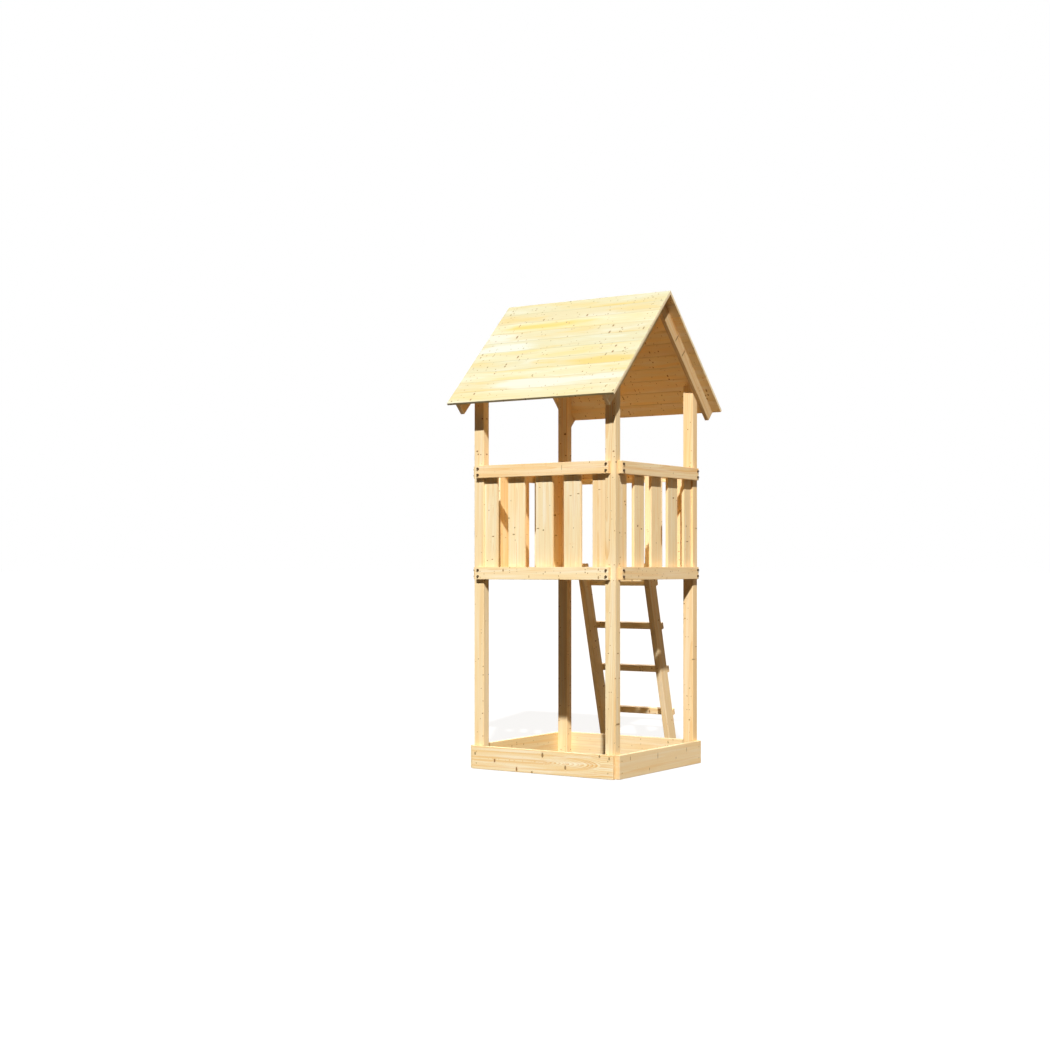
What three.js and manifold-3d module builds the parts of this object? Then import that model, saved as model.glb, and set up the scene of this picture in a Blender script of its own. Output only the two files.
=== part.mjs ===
// Play tower of planed spruce: four posts on a square sandbox border, a railed deck with
// upright slats, a gable roof of matched boards and a fixed ladder that leans on the deck.
// Millimetres, +Z up. The open front is towards -Y, the ladder stands at +Y and the ridge
// runs along X. The origin is at ground level, below the middle of the whole outline.

import * as THREE from "three";
import { mergeVertices } from "three/addons/utils/BufferGeometryUtils.js";
import Module from "manifold-3d";

const wasm = await Module();
wasm.setup();

// Sizes of the frame
const frameWidth = 1070; // along X, over the outer faces of the border boards
const frameDepth = 1070; // along Y, the same
const plankThickness = 28; // border boards, rails and rafters
const postWidth = 70; // along X
const postDepth = 58; // along Y
const borderHeight = 142;

// Rails
const railHeight = 76;
const railSetback = 32; // from a post's outer corner to the end of the rail
const lowerRailBottom = 1167;
const upperRailBottom = 1791;

// Hexagon heads of the coach screws that hold the rails
const screwFlats = 13; // across the flats
const screwHeadHeight = 8; // with the washer
const screwSpacing = 38; // between the two screws of one rail end
const screwInset = 15; // from the end of the rail
const screwRoot = 2; // how far a head is let into the rail, where they join

// Upright slats behind the rails
const slatThickness = 18;
const slatWidth = 120;
const endSlatWidth = 94; // ripped narrower, beside a post
const slatEndInset = 6; // slat ends stay this far inside the rails' far edges
const fullSlats = 3; // between the two end slats
const backSlats = 2; // slats beside the way in at the ladder
const packingThickness = 12; // strips that hold the slats off the rails
const packingHeight = 38; // of the strips behind the upper rails

// Deck
const deckThickness = 18;
const joistWidth = 28;
const joistHeight = 44;
const joistLift = 2; // joist bottom above the lower rail's bottom edge
const deckNodes = 5;

// Matched boards of deck and roof
const boardsInNode = 2; // two boards are joined in each node
const tongueThickness = 5;
const tongueLength = 7;
const jointChamfer = 1.6; // V joint on both faces
const jointGap = 0.6; // between the shoulders of neighbouring nodes
const tongueClearance = 0.4;

// Roof
const ridgeHeight = 2922;
const roofSlope = 45; // degrees
const roofThickness = 16;
const eaveOverhang = 141; // past the border's outer face, measured level
const gableOverhang = 60; // the same at the gables
const rafterDepth = 76;
const roofNodes = 5; // on each slope

// Ladder
const ladderReach = 310; // from the frame's outer face to the inner edge of the foot
const ladderSideDepth = 90;
const ladderSideThickness = 38;
const ladderLeftGap = 35.5; // from the left side to the post or slat beside it
const ladderRightGap = 7; // the same at the right
const ladderTopRise = 24; // above the lower rail
const rungThickness = 28;
const rungWidth = 44; // along the ladder side
const rungCount = 4;
const firstRungHeight = 254; // lower inner edge of the first rung
const lastRungDrop = 49; // from the lower rail's bottom down to the same edge of the last rung

const seatGap = 0.3; // between pieces that rest on each other on a slope
const fitGap = 1; // around the deck boards

// Places that several pieces share
const halfWidth = frameWidth / 2;
const halfDepth = frameDepth / 2;
const postFaceX = halfWidth - plankThickness;
const postFaceY = halfDepth - plankThickness;
const slope = THREE.MathUtils.degToRad(roofSlope);
const halfSpan = halfDepth + eaveOverhang;
const slopeLength = halfSpan / Math.cos(slope);
const roofLength = frameWidth + 2 * gableOverhang;
const slatBack = postFaceY - packingThickness - slatThickness; // inner face of the front and back slats
const sideSlatBack = postFaceX - packingThickness - slatThickness;
const slatBottom = lowerRailBottom + slatEndInset;
const slatTop = upperRailBottom + railHeight - slatEndInset;
const joistBottom = lowerRailBottom + joistLift;
const deckBottom = joistBottom + joistHeight;
const lean = Math.atan(ladderReach / lowerRailBottom);
const ladderFoot = ladderReach + ladderSideDepth / Math.cos(lean);
const rungPitch = (lowerRailBottom - lastRungDrop - firstRungHeight) / (rungCount - 1); // upright

// Colours are read from the photograph
const spruceFront = new THREE.MeshStandardMaterial({ color: 0xf2cf98, roughness: 0.7, metalness: 0 });
const spruceSlat = new THREE.MeshStandardMaterial({ color: 0xecc48a, roughness: 0.7, metalness: 0 });
const spruceRoof = new THREE.MeshStandardMaterial({ color: 0xf3e0a6, roughness: 0.75, metalness: 0 });

const tower = new THREE.Group();

// The four sides of the frame. Each has its length, the distance of its outer face from
// the middle, and the size of a post seen from that side.
const sides = [
  { name: "front", turn: 0, length: frameWidth, reach: halfDepth, postFace: postWidth },
  { name: "right", turn: Math.PI / 2, length: frameDepth, reach: halfWidth, postFace: postDepth },
  { name: "back", turn: Math.PI, length: frameWidth, reach: halfDepth, postFace: postWidth },
  { name: "left", turn: -Math.PI / 2, length: frameDepth, reach: halfWidth, postFace: postDepth },
];

function addMesh(parent, name, geometry, material) {
  const mesh = new THREE.Mesh(geometry, material);
  mesh.name = name;
  parent.add(mesh);
  return mesh;
}

function addBox(parent, name, material, from, to) {
  const size = new THREE.Vector3().subVectors(to, from);
  const mesh = addMesh(parent, name, new THREE.BoxGeometry(size.x, size.y, size.z), material);
  mesh.position.addVectors(from, to).divideScalar(2);
  return mesh;
}

// An outline drawn along two directions, made thick square to both, about its own middle.
function addOutline(parent, name, material, outline, thickness, along, up) {
  const geometry = outlineGeometry(outline, thickness);
  const mesh = addMesh(parent, name, geometry, material);
  const across = new THREE.Vector3().crossVectors(along, up);
  mesh.quaternion.setFromRotationMatrix(new THREE.Matrix4().makeBasis(along, up, across));
  return mesh;
}

function outlineGeometry(outline, thickness) {
  const shape = new THREE.Shape(outline.map(([u, v]) => new THREE.Vector2(u, v)));
  const geometry = new THREE.ExtrudeGeometry(shape, { depth: thickness, bevelEnabled: false });
  return geometry.translate(0, 0, -thickness / 2);
}

function toSolid(geometry) {
  const bare = geometry.clone();
  bare.deleteAttribute("normal");
  bare.deleteAttribute("uv");
  const merged = mergeVertices(bare);
  const vertProperties = merged.attributes.position.array;
  const triVerts = new Uint32Array(merged.index.array);
  return new wasm.Manifold(new wasm.Mesh({ numProp: 3, vertProperties, triVerts }));
}

function toGeometry(solid) {
  const cut = solid.getMesh();
  const geometry = new THREE.BufferGeometry();
  geometry.setAttribute("position", new THREE.BufferAttribute(cut.vertProperties, 3));
  geometry.setIndex(new THREE.BufferAttribute(cut.triVerts, 1));
  geometry.computeVertexNormals();
  return geometry;
}

function blockSolid(from, to) {
  const size = new THREE.Vector3().subVectors(to, from);
  const middle = new THREE.Vector3().addVectors(from, to).divideScalar(2);
  const box = new THREE.BoxGeometry(size.x, size.y, size.z);
  return toSolid(box.translate(middle.x, middle.y, middle.z));
}

// Posts: their tops are sawn level, where the outer face meets the roof boards.
function addPosts() {
  const top = ridgeHeight - postFaceY * Math.tan(slope) - roofThickness / Math.cos(slope) - seatGap;
  for (const [row, front] of [["front", -1], ["back", 1]]) {
    for (const [column, right] of [["left", -1], ["right", 1]]) {
      const x = right * (postFaceX - postWidth / 2);
      const y = front * (postFaceY - postDepth / 2);
      const from = new THREE.Vector3(x - postWidth / 2, y - postDepth / 2, 0);
      const to = new THREE.Vector3(x + postWidth / 2, y + postDepth / 2, top);
      addBox(tower, `post_${row}_${column}`, spruceFront, from, to);
    }
  }
}

// A rail with the heads of its four coach screws, and with the packing strip on its inner
// face. Its outer face is towards -Y, and the strip's edges are given from the rail's middle.
function railGeometry(length, packing) {
  let rail = toSolid(new THREE.BoxGeometry(length, plankThickness, railHeight));
  const from = new THREE.Vector3(-packing.length / 2, 0, packing.bottom);
  const to = new THREE.Vector3(packing.length / 2, plankThickness / 2 + packingThickness, packing.top);
  rail = rail.add(blockSolid(from, to));
  const radius = screwFlats / Math.sqrt(3);
  const reach = screwHeadHeight + screwRoot;
  for (const end of [-1, 1]) {
    for (const level of [-1, 1]) {
      const head = new THREE.CylinderGeometry(radius, radius, reach, 6);
      const x = end * (length / 2 - screwInset);
      const y = -plankThickness / 2 + screwRoot - reach / 2;
      head.translate(x, y, (level * screwSpacing) / 2);
      rail = rail.add(toSolid(head));
    }
  }
  return toGeometry(rail);
}

// The room between the two posts of a side.
function clearLength(side) {
  return side.length - 2 * plankThickness - 2 * side.postFace;
}

// Left edges and widths of the slats that share the room between two posts evenly.
function slatPlaces(side) {
  const clear = clearLength(side);
  const gap = (clear - 2 * endSlatWidth - fullSlats * slatWidth) / (fullSlats + 1);
  const places = [{ x: -clear / 2, width: endSlatWidth }];
  for (let i = 0; i < fullSlats; i++) {
    const before = places[places.length - 1];
    places.push({ x: before.x + before.width + gap, width: slatWidth });
  }
  places.push({ x: clear / 2 - endSlatWidth, width: endSlatWidth });
  return places;
}

// One side of the frame: border board, two rails with their packing strips, and the slats
// behind these. The lower strip ends below the deck boards, the upper one level with the slats.
function addSide(side) {
  const group = new THREE.Group();
  group.rotation.z = side.turn;
  tower.add(group);
  const face = -side.reach;
  const inner = face + plankThickness;
  const between = side.length / 2 - plankThickness;

  const borderFrom = new THREE.Vector3(-between, face, 0);
  const borderTo = new THREE.Vector3(between, inner, borderHeight);
  addBox(group, `border_${side.name}`, spruceFront, borderFrom, borderTo);

  const railLength = 2 * (between - railSetback);
  const packingLength = clearLength(side) - 2 * fitGap;
  const levels = [
    { name: "lower", railBottom: lowerRailBottom, from: slatBottom, to: deckBottom - fitGap },
    { name: "upper", railBottom: upperRailBottom, from: slatTop - packingHeight, to: slatTop },
  ];
  for (const { name, railBottom, from, to } of levels) {
    const middle = railBottom + railHeight / 2;
    const packing = { length: packingLength, bottom: from - middle, top: to - middle };
    const geometry = railGeometry(railLength, packing);
    const rail = addMesh(group, `rail_${side.name}_${name}`, geometry, spruceFront);
    rail.position.set(0, (face + inner) / 2, middle);
  }

  const places = slatPlaces(side);
  const kept = side.name === "back" ? places.slice(0, backSlats) : places;
  kept.forEach(({ x, width }, i) => {
    const outer = inner + packingThickness;
    const from = new THREE.Vector3(x, outer, slatBottom);
    const to = new THREE.Vector3(x + width, outer + slatThickness, slatTop);
    addBox(group, `slat_${side.name}_${i + 1}`, spruceSlat, from, to);
  });
}

// Section of matched boards side by side, from one edge to the other. The first edge has a
// tongue, a plumb ridge cut or is square; the last has a groove or is square.
function matchedOutline(start, width, thickness, firstEdge, lastEdge) {
  const end = start + width;
  const middle = thickness / 2;
  const half = tongueThickness / 2;
  const first = start + jointGap / 2;
  const last = lastEdge === "groove" ? end - jointGap / 2 : end;
  const joints = [];
  for (let i = 1; i < boardsInNode; i++) joints.push(start + (width * i) / boardsInNode);

  const points = [];
  if (firstEdge === "tongue") {
    points.push([first + jointChamfer, 0], [first, jointChamfer], [first, middle - half]);
    points.push([first - tongueLength, middle - half], [first - tongueLength, middle + half]);
    points.push([first, middle + half], [first, thickness - jointChamfer]);
    points.push([first + jointChamfer, thickness]);
  } else if (firstEdge === "ridge") {
    points.push([first + thickness * Math.tan(slope), 0], [first, thickness]);
  } else {
    points.push([start, 0], [start, thickness]);
  }
  for (const joint of joints) {
    points.push([joint - jointChamfer, thickness], [joint, thickness - jointChamfer]);
    points.push([joint + jointChamfer, thickness]);
  }
  if (lastEdge === "groove") {
    const wide = half + tongueClearance;
    const deep = last - tongueLength - jointGap - tongueClearance;
    points.push([last - jointChamfer, thickness], [last, thickness - jointChamfer]);
    points.push([last, middle + wide], [deep, middle + wide], [deep, middle - wide]);
    points.push([last, middle - wide], [last, jointChamfer], [last - jointChamfer, 0]);
  } else {
    points.push([last, thickness], [last, 0]);
  }
  for (const joint of joints.slice().reverse()) {
    points.push([joint + jointChamfer, 0], [joint, jointChamfer], [joint - jointChamfer, 0]);
  }
  return points.reverse();
}

// Two joists between the front and back slats, screwed to the inner faces of the posts.
function addJoists() {
  const outer = postFaceX - postWidth;
  const inner = outer - joistWidth;
  const end = slatBack - fitGap;
  const leftFrom = new THREE.Vector3(-outer, -end, joistBottom);
  const leftTo = new THREE.Vector3(-inner, end, deckBottom);
  addBox(tower, "deck_joist_left", spruceSlat, leftFrom, leftTo);
  const rightFrom = new THREE.Vector3(inner, -end, joistBottom);
  const rightTo = new THREE.Vector3(outer, end, deckBottom);
  addBox(tower, "deck_joist_right", spruceSlat, rightFrom, rightTo);
}

// The back slats stand at the right of the ladder; the way in is from the left post to them.
function wayIn() {
  const places = slatPlaces(sides.find((side) => side.name === "back"));
  const lastSlat = places[backSlats - 1];
  return { from: -(postFaceX - postWidth), to: -(lastSlat.x + lastSlat.width) };
}

// Deck of matched boards along X. It is notched round the posts and reaches the lower rail
// in the way in, where no slat stands.
function addDeck() {
  const edge = slatBack - fitGap;
  const width = (2 * edge) / deckNodes;
  const along = new THREE.Vector3(0, 1, 0);
  const up = new THREE.Vector3(0, 0, 1);
  const turn = new THREE.Matrix4().makeBasis(along, up, new THREE.Vector3().crossVectors(along, up));
  const length = 2 * (sideSlatBack - fitGap);
  const notchX = postFaceX - postWidth - fitGap;
  const notchY = postFaceY - postDepth - fitGap;
  for (let i = 0; i < deckNodes; i++) {
    const firstEdge = i > 0 ? "tongue" : "square";
    const lastEdge = i < deckNodes - 1 ? "groove" : "square";
    const outline = matchedOutline(-edge + i * width, width, deckThickness, firstEdge, lastEdge);
    let board = toSolid(outlineGeometry(outline, length).applyMatrix4(turn));
    for (const x of [-1, 1]) {
      for (const y of [-1, 1]) {
        const inner = new THREE.Vector3(x * notchX, y * notchY, -deckThickness);
        const outer = new THREE.Vector3(x * halfWidth, y * halfDepth, 2 * deckThickness);
        const low = inner.clone().min(outer);
        board = board.subtract(blockSolid(low, inner.clone().max(outer)));
      }
    }
    if (i === deckNodes - 1) {
      const way = wayIn();
      const from = new THREE.Vector3(way.from + fitGap, notchY - fitGap, 0);
      const to = new THREE.Vector3(way.to - fitGap, postFaceY - fitGap, deckThickness);
      board = board.add(blockSolid(from, to));
    }
    const mesh = addMesh(tower, `deck_boards_${i + 1}`, toGeometry(board), spruceSlat);
    mesh.position.z = deckBottom;
  }
}

// Directions of a roof slope: down the slope and out of it. The front slope falls to -Y.
function slopeDirections(front) {
  const down = new THREE.Vector3(0, -front * Math.cos(slope), -Math.sin(slope));
  const out = new THREE.Vector3(0, -front * Math.sin(slope), Math.cos(slope));
  return { down, out };
}

// Roof boards on one slope. Their outer faces start at the ridge line.
function addRoofSlope(name, front) {
  const { down, out } = slopeDirections(front);
  const width = slopeLength / roofNodes;
  for (let i = 0; i < roofNodes; i++) {
    const firstEdge = i > 0 ? "tongue" : "ridge";
    const lastEdge = i < roofNodes - 1 ? "groove" : "square";
    const outline = matchedOutline(i * width, width, roofThickness, firstEdge, lastEdge);
    const board = addOutline(
      tower, `roof_boards_${name}_${i + 1}`, spruceRoof, outline, roofLength, down, out);
    board.position.set(0, 0, ridgeHeight).addScaledVector(out, -roofThickness);
  }
}

// A rafter on the outer faces of two posts, plumb at the ridge and square at the eave.
function addRafter(name, front, right) {
  const { down, out } = slopeDirections(front);
  const top = -roofThickness - seatGap;
  const bottom = top - rafterDepth;
  const ridgeCut = (level) => -level * Math.tan(slope) + seatGap;
  const outline = [
    [ridgeCut(bottom), bottom],
    [slopeLength, bottom],
    [slopeLength, top],
    [ridgeCut(top), top],
  ];
  const rafter = addOutline(
    tower, `rafter_${name}`, spruceFront, outline, plankThickness, down, out);
  rafter.position.set(right * (postFaceX + plankThickness / 2), 0, ridgeHeight);
}

// Ladder: two sides with plumb-cut tops against the lower rail, and four battens as rungs
// on their outer edges.
function addLadder() {
  const way = wayIn();
  const left = way.from + ladderLeftGap;
  const right = way.to - ladderRightGap;
  const top = lowerRailBottom + railHeight + ladderTopRise;
  const outline = [
    [ladderReach, 0],
    [ladderFoot, 0],
    [ladderFoot - top * Math.tan(lean), top],
    [0, top],
    [0, lowerRailBottom],
  ];
  const along = new THREE.Vector3(0, 1, 0);
  const up = new THREE.Vector3(0, 0, 1);
  const thickness = ladderSideThickness;
  for (const [name, x] of [["left", left + thickness / 2], ["right", right - thickness / 2]]) {
    const side = addOutline(
      tower, `ladder_side_${name}`, spruceFront, outline, thickness, along, up);
    side.position.set(x, halfDepth, 0);
  }

  const leaning = new THREE.Group();
  leaning.position.set((left + right) / 2, halfDepth + ladderReach, 0);
  leaning.rotation.x = lean;
  tower.add(leaning);
  const rise = ladderSideDepth * Math.sin(lean);
  for (let i = 0; i < rungCount; i++) {
    const rungBottom = (firstRungHeight + i * rungPitch - rise) / Math.cos(lean);
    const inner = ladderSideDepth + seatGap;
    const from = new THREE.Vector3((left - right) / 2, inner, rungBottom);
    const to = new THREE.Vector3((right - left) / 2, inner + rungThickness, rungBottom + rungWidth);
    addBox(leaning, `ladder_rung_${i + 1}`, spruceFront, from, to);
  }
}

addPosts();
sides.forEach(addSide);
addJoists();
addDeck();
addRafter("front_left", 1, -1);
addRafter("front_right", 1, 1);
addRafter("back_left", -1, -1);
addRafter("back_right", -1, 1);
addRoofSlope("front", 1);
addRoofSlope("back", -1);
addLadder();

// The outline runs from the front eave to the ladder's foot; the origin lies between them.
tower.position.y = (halfSpan - (halfDepth + ladderFoot)) / 2;
const part = new THREE.Group();
part.add(tower);

export default part;
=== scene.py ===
# Wooden play tower: planed spruce frame, matched boards on the roof and the deck, a leaning
# ladder at the back and dark coach screws. Metres, +Z up, the open front is towards -Y.
import math
import random

import bmesh
import bpy
from mathutils import Matrix, Vector


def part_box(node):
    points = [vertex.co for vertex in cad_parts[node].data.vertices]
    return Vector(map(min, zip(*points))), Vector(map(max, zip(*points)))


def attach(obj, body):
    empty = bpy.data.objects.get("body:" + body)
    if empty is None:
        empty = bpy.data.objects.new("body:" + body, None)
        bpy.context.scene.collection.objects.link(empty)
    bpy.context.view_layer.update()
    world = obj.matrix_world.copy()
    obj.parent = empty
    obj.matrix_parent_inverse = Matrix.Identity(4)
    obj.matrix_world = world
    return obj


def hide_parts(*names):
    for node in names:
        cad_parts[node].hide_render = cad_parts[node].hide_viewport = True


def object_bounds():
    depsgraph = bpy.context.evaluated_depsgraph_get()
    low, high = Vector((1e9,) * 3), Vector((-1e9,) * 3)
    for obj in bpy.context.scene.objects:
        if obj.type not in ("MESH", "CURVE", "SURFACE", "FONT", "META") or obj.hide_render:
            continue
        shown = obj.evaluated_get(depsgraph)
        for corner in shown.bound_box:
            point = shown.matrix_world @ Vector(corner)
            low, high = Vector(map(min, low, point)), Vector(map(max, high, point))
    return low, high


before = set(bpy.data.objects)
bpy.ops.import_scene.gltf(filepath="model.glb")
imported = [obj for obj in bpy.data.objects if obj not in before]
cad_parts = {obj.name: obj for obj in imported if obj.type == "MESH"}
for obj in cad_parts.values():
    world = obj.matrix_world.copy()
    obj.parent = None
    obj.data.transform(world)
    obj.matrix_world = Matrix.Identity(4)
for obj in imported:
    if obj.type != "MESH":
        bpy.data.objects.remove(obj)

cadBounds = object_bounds()
millimetre = 0.001
tolerance = millimetre / 10
acrossX, acrossY, upright = Vector((1, 0, 0)), Vector((0, 1, 0)), Vector((0, 0, 1))
print("frame loaded:", len(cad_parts), "solids")


# Puts an object into the scene
def newObject(name, data):
    made = bpy.data.objects.new(name, data)
    bpy.context.scene.collection.objects.link(made)
    return made


# Camera, at the photograph's place and lens
view = {
    "place": (5.473, -8.966, 1.245),
    "heading": 33.93,  # degrees, to the left of straight ahead
    "lens": 56.78,
    "sensor": 36.0,
    "shiftUp": 0.0397,
}
cameraData = bpy.data.cameras.new("camera")
cameraData.lens = view["lens"]
cameraData.sensor_width = view["sensor"]
cameraData.shift_y = view["shiftUp"]
camera = newObject("camera", cameraData)
camera.location = view["place"]
camera.rotation_euler = (math.radians(90), 0, math.radians(view["heading"]))
bpy.context.scene.camera = camera
bpy.context.scene.view_settings.view_transform = "Standard"
print("camera set")


# Materials
def linearColour(hexColour):
    parts = [int(hexColour[i:i + 2], 16) / 255 for i in (1, 3, 5)]
    curved = [c / 12.92 if c <= 0.04045 else ((c + 0.055) / 1.055) ** 2.4 for c in parts]
    return (*curved, 1.0)


# A key that starts with a small letter is a setting of the node, any other an input of it,
# and what follows goes to the first inputs in turn. A node or a socket as the value makes a link.
def addNode(tree, kind, values, *inputs):
    node = tree.nodes.new(f"ShaderNode{kind}")
    for key, value in [*values.items(), *enumerate(inputs)]:
        if isinstance(key, str) and key[0].islower():
            setattr(node, key, value)
        elif isinstance(value, bpy.types.Node):
            tree.links.new(value.outputs[0], node.inputs[key])
        elif isinstance(value, bpy.types.NodeSocket):
            tree.links.new(value, node.inputs[key])
        else:
            node.inputs[key].default_value = value
    return node


# Settings of the nodes that come up most
multiply, multiplyAdd = {"operation": "MULTIPLY"}, {"operation": "MULTIPLY_ADD"}
divide, subtract = {"operation": "DIVIDE"}, {"operation": "SUBTRACT"}
least, most, measure = {"operation": "MINIMUM"}, {"operation": "MAXIMUM"}, {"operation": "LENGTH"}


def newMaterial(name):
    material = bpy.data.materials.new(name)
    material.use_nodes = True
    material.node_tree.nodes.clear()
    return material


# Spruce is drawn as a solid, so that rings, end grain and knots run through from face to
# face. Each board carries its own place in its tree, in millimetres from the pith: x along
# the fibre, y and z across. All sizes here are millimetres.
spruce = {
    "ringWidth": 3.4,  # one year
    "weakYear": 0.35,  # depth of the faintest year
    "bandWidth": 11.0,  # runs of wide and narrow years, which still show from some metres away
    "bandRoughness": 0.6,
    "fibreWidth": 1.7,
    "fibreLength": 130.0,
    "swayLength": 430.0,  # slow bends of the trunk
    "swayWidth": 95.0,
    "sway": 9.0,
    "softDetail": 2.0,  # octaves of the noise
    "fineDetail": 3.0,
    "ringBump": 0.05,
    "fibreBump": 0.05,
    "knotBump": 0.12,
    "bumpStrength": 0.6,
    "roughnessRange": 0.06,
    "knotGloss": 0.15,  # how much smoother a knot is than the wood round it
    "knotPull": 5.0,  # how far rings bend round a knot
    "knotRoam": 0.5,  # share of its length of trunk that a knot can stand in
    "knotSizes": (0.5, 1.2),  # least and largest, as shares of the radius below
    "noKnot": 0.01,  # radius where no knot grew
    "ragWidth": 6.25,
    "rag": 0.5,  # how far a knot's edge wanders, in knot radii
    "spotRag": 2.4,  # the same for the edge of a board's own streak
    "farAway": 99.0,  # in knot radii, for a board without a knot of its own
    "fading": 1.2,  # in knot radii, off the other knots of a board that has knots of its own
    # Soft edges: where each mask begins and where it is full
    "edges": {
        "knot": (1.35, 1.1),  # in knot radii, as the next three
        "rimInside": (0.95, 1.2),
        "rimOutside": (1.6, 1.3),
        "halo": (3.6, 1.1),
        "lateWood": (0.35, 0.95),  # in years
        "band": (0.42, 0.7),  # levels of the noise, as the next two
        "heart": (0.5, 0.68),
        "pale": (0.48, 0.32),
        "spot": (2.2, 1.5),  # in half lengths of the streak
    },
    # Knots grow out from the pith, one or two in each length of trunk. A stretched one was
    # sawn aslant, so that it is longer across the board.
    "knots": [
        {"every": 331.0, "radius": 4.6, "spread": 1.9, "share": 0.5, "seed": 3.0, "stretch": 1.5},
        {"every": 187.0, "radius": 3.3, "spread": 2.2, "share": 0.65, "seed": 11.0, "stretch": 1.2},
        {"every": 97.0, "radius": 2.5, "spread": 2.4, "share": 0.85, "seed": 29.0, "stretch": 1.0},
        {"every": 61.0, "radius": 2.2, "spread": 2.6, "share": 0.85, "seed": 47.0, "stretch": 1.0},
    ],
}


def spruceMaterial(name, colours, look):
    material = newMaterial(name)
    tree = material.node_tree
    carried = {}
    for part in ("grainPlace", "boardTone", "streakPlace", "knotPlace", "sawnEnd", "paintedShadeSide"):
        carried[part] = addNode(tree, "Attribute", {"attribute_name": part})
    point = carried["grainPlace"].outputs["Vector"]
    along, side, height = addNode(tree, "SeparateXYZ", {}, point).outputs
    tones = carried["boardTone"].outputs["Vector"]
    lightTone, warmTone, figureTone = addNode(tree, "SeparateXYZ", {}, tones).outputs
    streak = carried["streakPlace"].outputs["Vector"]
    streakAlong, streakAcross, streakDepth = addNode(tree, "SeparateXYZ", {}, streak).outputs
    ownKnot = carried["knotPlace"].outputs["Vector"]
    ownAlong, ownAcross, ownMark = addNode(tree, "SeparateXYZ", {}, ownKnot).outputs

    # Noise, drawn out along the fibre
    noises = {}
    for part, length, width, detail in (
            ("sway", spruce["swayLength"], spruce["swayWidth"], spruce["softDetail"]),
            ("rag", spruce["ragWidth"], spruce["ragWidth"], spruce["softDetail"]),
            ("fibre", spruce["fibreLength"], spruce["fibreWidth"], spruce["fineDetail"]),
            ("broad", look["streakLength"], look["streakWidth"], spruce["fineDetail"])):
        scaled = addNode(tree, "VectorMath", multiply, point, (1 / length, 1 / width, 1 / width))
        noises[part] = addNode(tree, "TexNoise", {"Vector": scaled, "Scale": 1.0, "Detail": detail})
    fibre, broad = noises["fibre"], noises["broad"]

    # Distance and direction from the pith, with the slow sway of the trunk
    flat = addNode(tree, "CombineXYZ", {"Y": side, "Z": height})
    distance = addNode(tree, "VectorMath", measure, flat).outputs["Value"]
    radius = addNode(tree, "Math", multiplyAdd, noises["sway"], spruce["sway"], distance)
    angle = addNode(tree, "Math", {"operation": "ARCTAN2"}, side, height)

    # Knots: the nearest one, as a share of its own radius
    nearest, kind = None, None
    for layer in spruce["knots"]:
        cellAt = addNode(tree, "Math", divide, along, layer["every"])
        cell = addNode(tree, "Math", {"operation": "FLOOR"}, cellAt)
        inCell = addNode(tree, "Math", subtract, cellAt, cell)
        cellKey = addNode(tree, "CombineXYZ", {"X": cell, "Y": layer["seed"]})
        dice = addNode(tree, "TexWhiteNoise", {"noise_dimensions": "2D", "Vector": cellKey})
        throws = addNode(tree, "SeparateColor", {"Color": dice.outputs["Color"]}).outputs
        roam = spruce["knotRoam"]
        middle = addNode(tree, "Math", multiplyAdd, throws[0], roam, (1 - roam) / 2)
        aside = addNode(tree, "Math", subtract, inCell, middle)
        lengthwise = addNode(tree, "Math", multiply, aside, layer["every"])
        sideways = None
        for throw in throws[1:]:
            aim = addNode(tree, "Math", multiplyAdd, throw, layer["spread"], -layer["spread"] / 2)
            turned = addNode(tree, "Math", subtract, angle, aim)
            apart = addNode(tree, "Math", {"operation": "ABSOLUTE"}, turned)
            sideways = apart if sideways is None else addNode(tree, "Math", least, sideways, apart)
        arc = addNode(tree, "Math", multiply, sideways, distance)
        across = addNode(tree, "Math", divide, arc, layer["stretch"])
        offset = addNode(tree, "CombineXYZ", {"X": lengthwise, "Y": across})
        away = addNode(tree, "VectorMath", measure, offset).outputs["Value"]
        chance = addNode(tree, "Math", {"operation": "LESS_THAN"}, dice.outputs["Value"], layer["share"])
        small, large = [look["knotSize"] * part * layer["radius"] for part in spruce["knotSizes"]]
        grown = addNode(tree, "MapRange", {"Value": throws[2], "To Min": small, "To Max": large})
        size = addNode(tree, "Math", multiplyAdd, chance, grown, spruce["noKnot"])
        share = addNode(tree, "Math", divide, away, size)
        nearest = share if nearest is None else addNode(tree, "Math", least, nearest, share)
        kind = throws[0] if kind is None else kind
    # The one clear knot of each length of board that was given one. The mark says that there
    # is one at all.
    ownOffset = addNode(tree, "CombineXYZ", {"X": ownAlong, "Y": ownAcross})
    ownAway = addNode(tree, "VectorMath", measure, ownOffset).outputs["Value"]
    unmarked = addNode(tree, "Math", multiplyAdd, ownMark, -spruce["farAway"], spruce["farAway"])
    ownShare = addNode(tree, "Math", {"operation": "ADD"}, ownAway, unmarked)
    faded = addNode(tree, "Math", multiplyAdd, ownMark, spruce["fading"], nearest)
    nearest = addNode(tree, "Math", least, faded, ownShare)
    knotAt = addNode(tree, "Math", multiplyAdd, noises["rag"], spruce["rag"], nearest)
    masks = {}
    for part in ("knot", "rimInside", "rimOutside", "halo"):
        begins, full = spruce["edges"][part]
        masks[part] = addNode(tree, "MapRange", {
            "interpolation_type": "SMOOTHSTEP", "Value": knotAt, "From Min": begins, "From Max": full})
    rim = addNode(tree, "Math", multiply, masks["rimInside"], masks["rimOutside"])

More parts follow.
